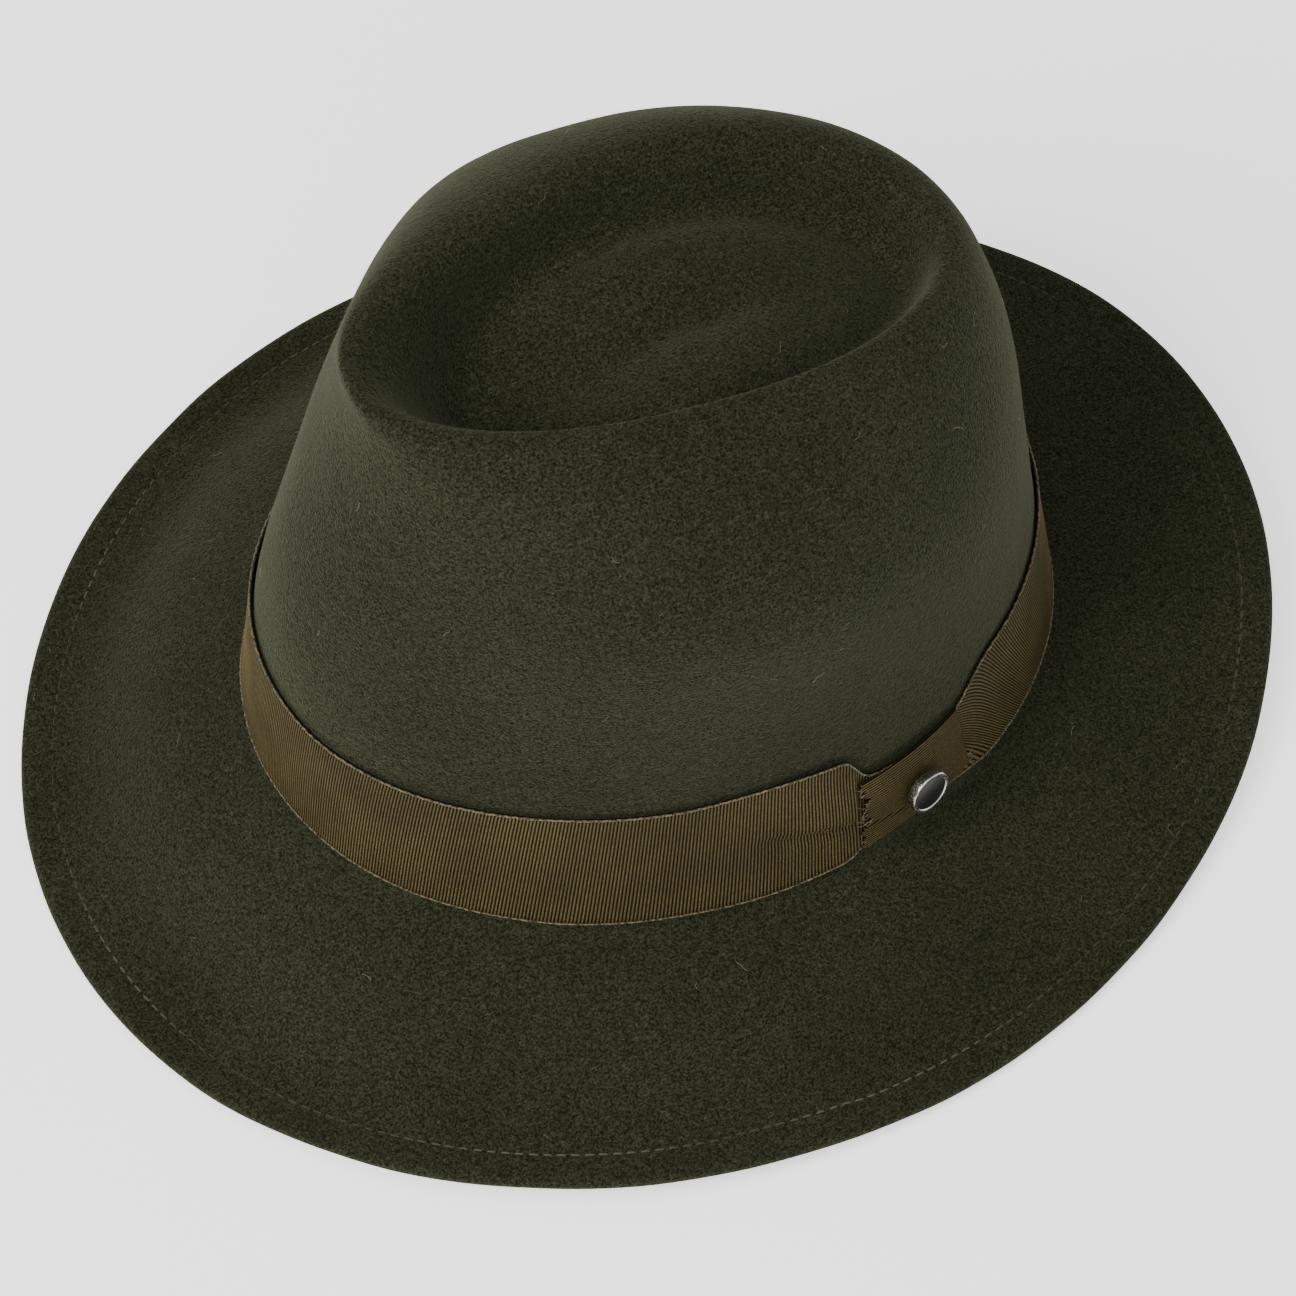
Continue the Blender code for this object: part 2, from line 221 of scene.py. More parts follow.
class Nodes:
    """A material's node tree, with short ways to add and join its nodes."""

    def __init__(self, name: str) -> None:
        self.material = bpy.data.materials.new(name)
        self.material.use_nodes = True
        self.tree = self.material.node_tree
        self.shader = self.tree.nodes["Principled BSDF"]
        self.coordinates = self.tree.nodes.new("ShaderNodeTexCoord")

    def add(self, kind: str, inputs: Optional[dict[str, object]] = None,
            **settings: object) -> bpy.types.Node:
        """Adds a node.

        Args:
            kind: the node's type name.
            inputs: values or sockets for its inputs, by name or number.
            settings: its properties by name.

        Returns:
            The node.
        """
        node = self.tree.nodes.new(kind)
        for name, value in settings.items():
            setattr(node, name, value)
        for name, value in (inputs or {}).items():
            self.join(value, node.inputs[name])
        return node

    def join(self, value: object, socket: bpy.types.NodeSocket) -> None:
        """Links a socket to an input, or sets the input to a plain value.

        Args:
            value: an output socket, a number, a colour or a vector.
            socket: the input.
        """
        if isinstance(value, bpy.types.NodeSocket):
            self.tree.links.new(value, socket)
        elif isinstance(value, tuple) and len(value) == 3 and socket.type == "RGBA":
            socket.default_value = (*value, 1.0)
        else:
            socket.default_value = value

    def noise(self, scale: float, detail: float = 2.0,
              stretch: Optional[Colour] = None) -> bpy.types.NodeSocket:
        """Noise over the object's own coordinates.

        Args:
            scale: waves per metre.
            detail: octaves of finer noise.
            stretch: factors on the three coordinates.

        Returns:
            The noise's value.
        """
        place = self.coordinates.outputs["Object"]
        if stretch is not None:
            place = self.add("ShaderNodeMapping", {"Vector": place, "Scale": stretch}).outputs["Vector"]
        texture = self.add("ShaderNodeTexNoise", {"Vector": place, "Scale": scale, "Detail": detail})
        return texture.outputs["Fac"]

    def spread(self, value: bpy.types.NodeSocket, low: float, high: float,
               to_low: float = 0.0, to_high: float = 1.0) -> bpy.types.NodeSocket:
        """Stretches a range of values to another range.

        Args:
            value: the value.
            low: the value that becomes to_low.
            high: the value that becomes to_high.
            to_low: the new range's start.
            to_high: the new range's end.

        Returns:
            The stretched value.
        """
        inputs = {"Value": value, "From Min": low, "From Max": high, "To Min": to_low, "To Max": to_high}
        return self.add("ShaderNodeMapRange", inputs).outputs["Result"]

    def math(self, operation: str, first: object, second: object = 0.0) -> bpy.types.NodeSocket:
        """A sum or other operation on two values.

        Args:
            operation: the operation's name.
            first: the first value.
            second: the second value.

        Returns:
            The result.
        """
        return self.add("ShaderNodeMath", {0: first, 1: second}, operation=operation).outputs["Value"]

    def mix(self, share: object, first: object, second: object, blend: str = "MIX") -> bpy.types.NodeSocket:
        """A mix of two colours.

        Args:
            share: how much of the second colour.
            first: the first colour.
            second: the second colour.
            blend: how they are mixed.

        Returns:
            The mixed colour.
        """
        node = self.add("ShaderNodeMix", data_type="RGBA", blend_type=blend)
        self.join(share, node.inputs[0])
        self.join(first, node.inputs[6])
        self.join(second, node.inputs[7])
        return node.outputs[2]

    def shaded(self, colour: bpy.types.NodeSocket, shade: bpy.types.NodeSocket) -> bpy.types.NodeSocket:
        """Makes a colour lighter or darker by an even grey.

        Args:
            colour: the colour.
            shade: the grey that it is multiplied by.

        Returns:
            The shaded colour.
        """
        grey = self.add("ShaderNodeCombineColor", {0: shade, 1: shade, 2: shade}).outputs[0]
        return self.mix(1.0, colour, grey, "MULTIPLY")

    def bump(self, height: bpy.types.NodeSocket, depth: float, strength: float = 1.0,
             under: Optional[bpy.types.NodeSocket] = None) -> bpy.types.NodeSocket:
        """A bump from a height between zero and one.

        Args:
            height: the height.
            depth: the height's full depth in metres.
            strength: the bump's strength.
            under: another bump below it.

        Returns:
            The bumped normal.
        """
        inputs: dict[str, object] = {"Height": height, "Distance": depth, "Strength": strength}
        if under is not None:
            inputs["Normal"] = under
        return self.add("ShaderNodeBump", inputs).outputs["Normal"]

    def finish(self, **values: object) -> bpy.types.Material:
        """Sets the shader's inputs.

        Args:
            values: values or sockets, by the input's name with underscores for spaces.

        Returns:
            The material.
        """
        for name, value in values.items():
            self.join(value, self.shader.inputs[name.replace("_", " ")])
        return self.material


@dataclass(frozen=True)
class FeltFinish:
    """Brushed wool felt: mottled olive wool with a fine grain and a pale bloom at its edges."""

    deep: Colour = (0.0060, 0.0068, 0.0026)
    wool: Colour = (0.0310, 0.0345, 0.0180)
    pale: Colour = (0.0600, 0.0640, 0.0400)
    bloom: Colour = (0.62, 0.66, 0.40)

    def material(self) -> bpy.types.Material:
        """Builds the felt.

        Returns:
            The material.
        """
        nodes = Nodes("brushed_felt")
        cloud = nodes.spread(nodes.noise(22.0, 3.0), 0.35, 0.65)
        grain = nodes.spread(nodes.noise(1700.0, 4.0), 0.36, 0.64)
        fleck = nodes.spread(nodes.noise(2600.0, 2.0, (1.0, 0.35, 0.8)), 0.58, 0.72)
        tuft = nodes.spread(nodes.noise(620.0, 4.0), 0.36, 0.64)
        base = nodes.mix(nodes.math("MULTIPLY", grain, 0.85), self.deep, self.wool)
        base = nodes.mix(nodes.math("MULTIPLY", fleck, 0.5), base, self.pale)
        shade = nodes.math("ADD", nodes.math("MULTIPLY", cloud, 0.20), nodes.math("MULTIPLY", tuft, 0.30))
        shade = nodes.math("ADD", shade, 0.76)
        toned = nodes.shaded(base, shade)
        soft = nodes.bump(tuft, 0.16 * MILLIMETRE, 0.6)
        fine = nodes.bump(grain, 0.18 * MILLIMETRE, 0.9, soft)
        return nodes.finish(Base_Color=toned, Roughness=0.95, Specular_IOR_Level=0.06, Sheen_Weight=0.16,
                            Sheen_Roughness=0.38, Sheen_Tint=self.bloom, Normal=fine)


@dataclass(frozen=True)
class FibreFinish:
    """Loose wool or thread of one colour, a little uneven along its length."""

    name: str
    dark: Colour
    light: Colour
    waves: float = 300.0

    def material(self) -> bpy.types.Material:
        """Builds the fibre.

        Returns:
            The material.
        """
        nodes = Nodes(self.name)
        tone = nodes.spread(nodes.noise(self.waves, 2.0), 0.38, 0.62)
        colour = nodes.mix(tone, self.dark, self.light)
        return nodes.finish(Base_Color=colour, Roughness=0.85, Specular_IOR_Level=0.2, Sheen_Weight=0.2)


@dataclass(frozen=True)
class RibbonFinish:
    """Ribbed ribbon: ribs lit on their crests with painted shade in the grooves between them, and painted
    highlights where the fine threads of its weave cross the crests.
    """

    name: str
    ribs: float
    threads: float
    # groove: painted shade, the near-black laid in the hollows between the ribs.
    groove: Colour = (0.0018, 0.0012, 0.0003)
    rib: Colour = (0.0660, 0.0500, 0.0155)
    # thread: the colour of the painted highlight, pale specks laid on the rib crests along the weave's
    # threads.
    thread: Colour = (0.1750, 0.1400, 0.0520)
    along_u: bool = True

    def material(self) -> bpy.types.Material:
        """Builds the ribbon on the strip's own UV map.

        Returns:
            The material.
        """
        nodes = Nodes(self.name)
        split = nodes.add("ShaderNodeSeparateXYZ", {"Vector": nodes.coordinates.outputs["UV"]})
        across, along = split.outputs["X"], split.outputs["Y"]
        if not self.along_u:
            across, along = along, across
        phase = nodes.math("FRACT", nodes.math("MULTIPLY", across, self.ribs))
        crest = nodes.math("SINE", nodes.math("MULTIPLY", phase, math.pi))
        weft = nodes.math("FRACT", nodes.math("MULTIPLY", along, self.threads))
        knob = nodes.math("SINE", nodes.math("MULTIPLY", weft, math.pi))
        # Painted light: the rib crests take the lit rib colour, and the hollows take the groove's painted
        # shade.
        crest_light = nodes.spread(crest, 0.45, 0.97)
        speck = nodes.math("MULTIPLY", nodes.spread(nodes.noise(3200.0, 2.0), 0.42, 0.66), knob)
        cloud = nodes.spread(nodes.noise(60.0, 3.0), 0.35, 0.65)
        body = nodes.mix(crest_light, self.groove, self.rib)
        # Painted highlight: pale thread specks only on the lit crests.
        glint = nodes.math("MULTIPLY", nodes.math("MULTIPLY", speck, crest_light), 0.75)
        woven = nodes.mix(glint, body, self.thread)
        shade = nodes.math("ADD", nodes.math("MULTIPLY", cloud, 0.30), 0.82)
        toned = nodes.shaded(woven, shade)
        height = nodes.math("ADD", crest, nodes.math("MULTIPLY", knob, 0.25))
        normal = nodes.bump(height, 0.12 * MILLIMETRE, 0.8)
        return nodes.finish(Base_Color=toned, Roughness=0.72, Specular_IOR_Level=0.12, Normal=normal)


@dataclass(frozen=True)
class NickelFinish:
    """Dark nickel: blackened and brushed on its face, bright where the rim is rubbed."""

    name: str
    metal: Colour
    low: float
    high: float

    def material(self) -> bpy.types.Material:
        """Builds the metal.

        Returns:
            The material.
        """
        nodes = Nodes(self.name)
        brushed = nodes.spread(nodes.noise(900.0, 3.0, (1.0, 0.2, 1.0)), 0.35, 0.65)
        worn = nodes.spread(nodes.noise(2200.0, 2.0), 0.45, 0.70)
        dark = tuple(0.75 * part for part in self.metal)
        colour = nodes.mix(brushed, dark, self.metal)
        rough = nodes.spread(worn, 0.0, 1.0, self.low, self.high)
        normal = nodes.bump(brushed, 0.02 * MILLIMETRE, 0.5)
        return nodes.finish(Base_Color=colour, Metallic=1.0, Roughness=rough, Normal=normal)


class FeltBody:
    """Crown and brim of one felt, finely meshed from the CAD's own node, with its sewn edge."""

    def __init__(self, node: bpy.types.Object) -> None:
        self.node = node
        self.rng = np.random.default_rng(11)

    def build(self) -> bpy.types.Object:
        """Copies, merges and smooths the felt, and roughens it a little.

        Returns:
            The felt.
        """
        make_active(self.node)
        bpy.ops.object.duplicate()
        felt = bpy.context.view_layer.objects.active
        felt.name = "blocked_felt"
        felt.data.name = "blocked_felt"
        for key in [key for key in felt.keys() if key.startswith("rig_")]:
            del felt[key]
        felt.parent = None
        make_active(felt)
        bpy.ops.object.mode_set(mode="EDIT")
        bpy.ops.mesh.select_all(action="SELECT")
        bpy.ops.mesh.remove_doubles(threshold=0.00001)
        bpy.ops.mesh.tris_convert_to_quads(face_threshold=math.radians(60), shape_threshold=math.radians(60))
        bpy.ops.object.mode_set(mode="OBJECT")
        apply_modifier(felt, "SUBSURF", levels=2, render_levels=2)
        bpy.ops.object.shade_smooth()
        self.roughen(felt)
        return felt

    def roughen(self, felt: bpy.types.Object) -> None:
        """Gives the felt the slight unevenness of hand blocking.

        Args:
            felt: the felt.
        """
        waves = bpy.data.textures.new("blocking_waves", "CLOUDS")
        waves.noise_scale = 0.035
        waves.noise_depth = 1
        apply_modifier(felt, "DISPLACE", texture=waves, strength=0.9 * MILLIMETRE, mid_level=0.5)


class SurfaceTable:
    """The outside of the crown's foot as a table of places and normals, by angle and ribbon height."""

    columns = 256
    shares = np.linspace(-0.12, 1.50, 19)

    def __init__(self, felt: bpy.types.Object) -> None:
        tree = BVHTree.FromObject(felt, bpy.context.evaluated_depsgraph_get())
        angle = np.arange(self.columns) * TURN / self.columns
        places = np.empty((self.columns, len(self.shares), 3))
        half_width, half_length = SIZES.head_width / 2, SIZES.head_length / 2
        for i, turn in enumerate(angle):
            foot = np.array([half_width * math.sin(turn), -half_length * math.cos(turn), 0.0])
            reach = np.linalg.norm(foot)
            outward = foot / reach
            for j, share in enumerate(self.shares):
                height = SIZES.break_radius + share * SIZES.ribbon_width
                start = outward * (reach + 0.012) + (0.0, 0.0, height)
                ends = SIZES.rest(np.stack([start, start - outward * 0.05]))
                direction = Vector(ends[1] - ends[0]).normalized()
                hit = tree.ray_cast(Vector(ends[0]), direction, 0.05)[0]
                places[i, j] = hit if hit is not None else ends.mean(axis=0)
        self.places = places
        around = np.roll(places, -1, axis=0) - np.roll(places, 1, axis=0)
        upward = np.gradient(places, axis=1)
        normals = np.cross(around, upward)
        self.normals = normals / np.linalg.norm(normals, axis=2, keepdims=True)

    def at(self, angle: np.ndarray, share: np.ndarray, lift: np.ndarray) -> np.ndarray:
        """Points on or above the crown's foot.

        Args:
            angle: angles round the crown.
            share: heights as shares of the ribbon's width.
            lift: distances out from the felt.

        Returns:
            The points in the CAD's frame.
        """
        return self.read(self.places, angle, share) + self.read(self.normals, angle, share) * lift[..., None]

    def read(self, table: np.ndarray, angle: np.ndarray, share: np.ndarray) -> np.ndarray:
        """Reads a table between its entries.

        Args:
            table: values by angle and height.
            angle: angles round the crown.
            share: heights as shares of the ribbon's width.

        Returns:
            The values there.
        """
        turn = (angle % TURN) / TURN * self.columns
        rise = (share - self.shares[0]) / (self.shares[1] - self.shares[0])
        left = np.floor(turn).astype(int)
        low = np.clip(np.floor(rise).astype(int), 0, len(self.shares) - 2)
        a, b = (turn - left)[..., None], (rise - low)[..., None]
        left, right = left % self.columns, (left + 1) % self.columns
        lower = table[left, low] * (1 - a) + table[right, low] * a
        upper = table[left, low + 1] * (1 - a) + table[right, low + 1] * a
        return lower * (1 - b) + upper * b


def woven_strip(name: str, columns: int, rows: int,
                place: Callable[[np.ndarray, np.ndarray], np.ndarray], thickness: float) -> bpy.types.Object:
    """A strip of ribbon: a grid whose points are laid by a rule, then given its thickness inwards.

    Args:
        name: the piece's name.
        columns: faces along the strip.
        rows: faces across it.
        place: gives points from shares along and across.
        thickness: the ribbon's thickness.

    Returns:
        The strip.
    """
    deselect_all()
    bpy.ops.mesh.primitive_grid_add(x_subdivisions=columns, y_subdivisions=rows, size=1.0)
    strip = bpy.context.object
    strip.name = name
    strip.data.name = name
    flat = points_of(strip)
    move_points(strip, place(flat[:, 0] + 0.5, flat[:, 1] + 0.5))
    apply_modifier(strip, "SOLIDIFY", thickness=thickness, offset=-1.0, use_rim=True)
    bpy.ops.object.shade_smooth()
    return strip


def tube(name: str, lines: Sequence[np.ndarray], radius: float, closed: bool = False,
         sides: int = 1) -> bpy.types.Object:
    """Round threads along lines of points.

    Args:
        name: the piece's name.
        lines: the points of each thread.
        radius: the threads' radius.
        closed: whether each thread's ends meet.
        sides: the curve's bevel resolution.

    Returns:
        The threads as one mesh.
    """
    curve = bpy.data.curves.new(name, "CURVE")
    curve.dimensions = "3D"
    curve.bevel_depth = radius
    curve.bevel_resolution = sides
    curve.use_fill_caps = not closed
    for line in lines:
        spline = curve.splines.new("POLY")
        spline.points.add(len(line) - 1)
        spline.points.foreach_set("co", np.hstack([line, np.ones((len(line), 1))]).ravel())
        spline.use_cyclic_u = closed
    thread = bpy.data.objects.new(name, curve)
    bpy.context.scene.collection.objects.link(thread)
    make_active(thread)
    bpy.ops.object.convert(target="MESH")
    bpy.ops.object.shade_smooth()
    return bpy.context.object


@dataclass
class RibbonBand:
    """The ribbed ribbon round the foot of the crown, with its pleat, gathers and edge thread."""

    surface: SurfaceTable
    rib_pitch: float = 0.81 * MILLIMETRE
    rib_height: float = 0.22 * MILLIMETRE
    seat: float = 1.05 * MILLIMETRE
    thickness: float = 0.6 * MILLIMETRE
    faces_per_rib: int = 4
    rows: int = 18
    pleat_height: float = 2.6 * MILLIMETRE
    hidden_ends: float = math.radians(2.5)
    slant: float = 0.75
    edge_radius: float = 0.22 * MILLIMETRE
    ribs: int = field(init=False, default=0)

    def edges(self, angle: np.ndarray) -> tuple[np.ndarray, np.ndarray]:
        """The band's two edges, gathered in towards the knot.

        Args:
            angle: angles round the crown.

        Returns:
            The lower and upper edges as shares of the ribbon's width.
        """
        away = SIZES.from_knot(angle)
        front = np.exp(-((away / math.radians(10.6)) ** 8))
        drawn = np.where(away < 0, front, np.exp(-((away / SIZES.gather_spread) ** 4)))
        slack = 0.035 * np.exp(-(((away + math.radians(22)) / math.radians(12)) ** 2))
        return SIZES.band_foot + SIZES.gather_foot * drawn, SIZES.band_top + slack - SIZES.gather_top * drawn

    def lift(self, angle: np.ndarray, share: np.ndarray) -> np.ndarray:
        """How far the ribbon stands off the felt.

        Args:
            angle: angles round the crown.
            share: heights as shares of the ribbon's width.

        Returns:
            The distances from the felt to the ribbon's outer face, without its ribs.
        """
        away = np.degrees(SIZES.from_knot(angle))
        near = smooth((away + 32) / 20) * smooth((-9.5 - away) / 1.5)
        line = 0.39 - 0.0115 * (away + 10.3)
        flap = smooth((share - line) / 0.045) * (1 - 0.75 * smooth((share - line - 0.05) / 0.5))
        tuck = -0.80 * np.exp(-(((share - line + 0.02) / 0.05) ** 2))
        pleat = self.pleat_height * near ** 1.5 * (flap + tuck)
        right = np.exp(-(((away - 17) / 9) ** 2))
        crease = 0.5 * MILLIMETRE * right * np.exp(-(((share - 0.30) / 0.09) ** 2))
        wave = 0.16 * MILLIMETRE * np.sin(5 * angle + 1.3) * np.sin(math.pi * np.clip(share, 0, 1))
        return self.seat + np.maximum(pleat, -0.7 * MILLIMETRE) + crease + wave

    def place(self, along: np.ndarray, across: np.ndarray) -> np.ndarray:
        """Lays the ribbon round the crown.

        Args:
            along: shares of the way round, from the knot to the knot.
            across: shares from the lower edge to the upper one.

        Returns:
            The points of the ribbon's outer face.
        """
        start = SIZES.knot_angle + self.hidden_ends
        base = start + along * (TURN - 2 * self.hidden_ends)
        away = np.degrees(base - SIZES.knot_angle)
        lean = self.slant * np.exp(-(np.maximum(away - 8, 0) / 28) ** 2)
        inside = smooth(along / 0.02) * smooth((1 - along) / 0.02)
        angle = base - inside * lean * (across - 0.5) * SIZES.ribbon_width / (SIZES.head_length / 2)
        lower, upper = self.edges(angle)
        share = lower + (upper - lower) * across
        rib = np.abs(np.sin(math.pi * along * self.ribs)) * self.rib_height
        return self.surface.at(angle, share, self.lift(angle, share) + rib)

    def edge_line(self, across: float, count: int = 900) -> np.ndarray:
        """The line of one edge of the ribbon.

        Args:
            across: zero for the lower edge and one for the upper one.
            count: the number of points.

        Returns:
            The points.
        """
        along = np.linspace(0.004, 0.996, count)
        return self.place(along, np.full(count, across))

    def build(self) -> bpy.types.Object:
        """Builds the ribbon with a rib to each pitch.

        Returns:
            The ribbon.
        """
        probe = np.linspace(0, 1, 400)
        line = self.surface.at(probe * TURN, np.full(400, 0.5), np.zeros(400))
        length = np.linalg.norm(np.diff(line, axis=0), axis=1).sum()
        self.ribs = round(length / self.rib_pitch)
        columns = self.ribs * self.faces_per_rib
        return woven_strip("ribbed_band", columns, self.rows, self.place, self.thickness)

    def build_edges(self) -> bpy.types.Object:
        """Builds the woven edges' twisted threads.

        Returns:
            The threads.
        """
        lines = [self.edge_line(0.0), self.edge_line(1.0)]
        return tube("band_edges", lines, self.edge_radius)


@dataclass
class KnotTab:
    """The short length of ribbon that binds the band's gathered ends, its ribs running along it."""

    surface: SurfaceTable
    ribs: int = 30
    faces_per_rib: int = 4
    columns: int = 56
    lift: float = 2.0 * MILLIMETRE
    bulge: float = 0.9 * MILLIMETRE
    thickness: float = 0.7 * MILLIMETRE
    rib_height: float = 0.24 * MILLIMETRE

    def place(self, along: np.ndarray, across: np.ndarray) -> np.ndarray:
        """Lays the tab over the band.

        Args:
            along: shares from the front end to the back end.
            across: shares from the lower edge to the upper one.

        Returns:
            The points of the tab's outer face.
        """
        front, back = math.radians(98.6), math.radians(118.2)
        slope = math.radians(1.6) * (0.5 - across) * along
        ragged = math.radians(0.35) * (np.sin(across * 19) + 0.6 * np.sin(across * 43 + 1)) * (1 - along) ** 6
        curl = math.radians(0.9) * np.sin(across * math.pi) * (1 - along) ** 4
        angle = front + (back - front) * along + slope + ragged + curl
        low = 0.10 + 0.07 * along
        high = 0.765 + 0.045 * along
        share = low + (high - low) * across
        crown = (1 - (2 * along - 1) ** 2) * (1 - (2 * across - 1) ** 2)
        line = 0.36 - 0.30 * along
        fold = 0.9 * MILLIMETRE * (1 - along) * (smooth((across - line) / 0.05) - 0.5)
        dip = -0.7 * MILLIMETRE * np.exp(-(((across - line) / 0.035) ** 2)) * smooth((1 - along) / 0.5)
        raised = 0.7 * MILLIMETRE * (1 - along) ** 5 * np.sin(math.pi * across)
        rib = np.abs(np.sin(math.pi * across * self.ribs)) * self.rib_height
        lift = self.lift + self.bulge * crown + fold + dip + raised + rib - 0.5 * MILLIMETRE * along ** 3
        return self.surface.at(angle, share, lift)

    def build(self) -> bpy.types.Object:
        """Builds the tab.

        Returns:
            The tab.
        """
        rows = self.ribs * self.faces_per_rib
        return woven_strip("knot_tab", self.columns, rows, self.place, self.thickness)

    def build_frays(self) -> bpy.types.Object:
        """Builds the loose threads of the tab's cut ends.

        Returns:
            The threads.
        """
        rng = np.random.default_rng(5)
        lines = []
        for along, count in ((0.0, 26), (1.0, 9)):
            for _ in range(count):
                across = rng.uniform(0.02, 0.98) if along == 0.0 else rng.uniform(0.0, 0.22)
                root = self.place(np.array([along]), np.array([across]))[0]
                beside = self.place(np.array([abs(along - 0.02)]), np.array([across]))[0]
                way = (root - beside) / np.linalg.norm(root - beside)
                bend = rng.normal(0, 0.5, 3)
                length = rng.uniform(0.6, 1.9) * MILLIMETRE
                steps = np.linspace(0, 1, 6)[:, None]
                lines.append(root + (way * steps + bend * steps ** 2 * 0.8) * length)
        return tube("knot_frays", lines, 0.09 * MILLIMETRE)


def cylinder(name: str, sides: int, radius: float, low: float, high: float) -> bpy.types.Object:
    """A cylinder on the vertical axis, with its place in its mesh.

    Args:
        name: the piece's name.
        sides: the number of its sides.
        radius: its radius.
        low: the height of its lower end.
        high: the height of its upper end.

    Returns:
        The cylinder.
    """
    deselect_all()
    bpy.ops.mesh.primitive_cylinder_add(vertices=sides, radius=radius, depth=high - low,
                                        location=(0, 0, (low + high) / 2))
    piece = bpy.context.object
    piece.name = name
    piece.data.name = name
    bpy.ops.object.transform_apply(location=True)
    return piece


@dataclass
class Pin:
    """The small round metal pin on its post, its face left plain."""

    surface: SurfaceTable
    rim: float = 0.9 * MILLIMETRE
    sink: float = 0.35 * MILLIMETRE
    standing: float = 3.0 * MILLIMETRE
    post_radius: float = 1.9 * MILLIMETRE
    post_root: float = 1.2 * MILLIMETRE
    facet: float = math.radians(35)

    def frame(self) -> Matrix:
        """The pin's place and turn: its seat on the tab, facing out from the crown.

        Returns:
            The matrix that carries the pin from the origin to its seat.
        """
        angle = SIZES.knot_angle + np.array([0.0, 0.0, 0.05])
        share = SIZES.knot_middle + np.array([0.0, 0.1, 0.0])
        points = self.surface.at(angle, share, np.full(3, self.standing))
        seat, above, beside = [Vector(point) for point in points]
        upward = (above - seat).normalized()
        outward = (beside - seat).cross(upward).normalized()
        sideways = upward.cross(outward)
        return Matrix.Translation(seat) @ Matrix((sideways, upward, outward)).transposed().to_4x4()

    def disc(self) -> bpy.types.Object:
        """Builds the disc with its raised rim.

        Returns:
            The disc, at the origin.
        """
        radius = SIZES.pin_diameter / 2
        disc = cylinder("pin_head", 96, radius, SIZES.pin_height - SIZES.pin_disc, SIZES.pin_height)
        bpy.ops.object.mode_set(mode="EDIT")
        bpy.ops.mesh.select_mode(type="FACE")
        bpy.ops.mesh.select_all(action="DESELECT")
        shape = bmesh.from_edit_mesh(disc.data)
        for face in shape.faces:
            face.select = face.normal.z > 0.9
        bmesh.update_edit_mesh(disc.data)
        bpy.ops.mesh.inset(thickness=self.rim)
        bpy.ops.mesh.inset(thickness=self.rim * 0.4, depth=-self.sink)
        bpy.ops.mesh.inset(thickness=radius * 0.35)
        bpy.ops.transform.translate(value=(0, 0, 0.12 * MILLIMETRE))
        bpy.ops.object.mode_set(mode="OBJECT")
        apply_modifier(disc, "BEVEL", width=0.28 * MILLIMETRE, segments=4, limit_method="ANGLE",
                       angle_limit=math.radians(25))
        bpy.ops.object.shade_smooth_by_angle(angle=self.facet)
        return disc

    def face(self) -> bpy.types.Object:
        """Builds the plain dark face inside the rim.

        Returns:
            The face, at the origin.
        """
        radius = SIZES.pin_diameter / 2 - 1.15 * self.rim
        high = SIZES.pin_height - 0.3 * self.sink
        face = cylinder("pin_face", 64, radius, high - self.sink, high)
        apply_modifier(face, "BEVEL", width=0.1 * MILLIMETRE, segments=3, limit_method="ANGLE")
        bpy.ops.object.shade_smooth_by_angle(angle=self.facet)
        return face

    def post(self) -> bpy.types.Object:
        """Builds the post under the disc.

        Returns:
            The post, at the origin.
        """
        high = SIZES.pin_height - SIZES.pin_disc
        post = cylinder("pin_post", 32, self.post_radius, -self.post_root, high)
        apply_modifier(post, "BEVEL", width=0.15 * MILLIMETRE, segments=2, limit_method="ANGLE")
        bpy.ops.object.shade_smooth_by_angle(angle=self.facet)
        return post

    def build(self) -> list[bpy.types.Object]:
        """Builds the pin and seats it.

        Returns:
            The disc, its face and the post.
        """
        seat = self.frame()
        pieces = [self.disc(), self.face(), self.post()]
        for piece in pieces:
            piece.data.transform(seat)
            piece.data.update()
        return pieces


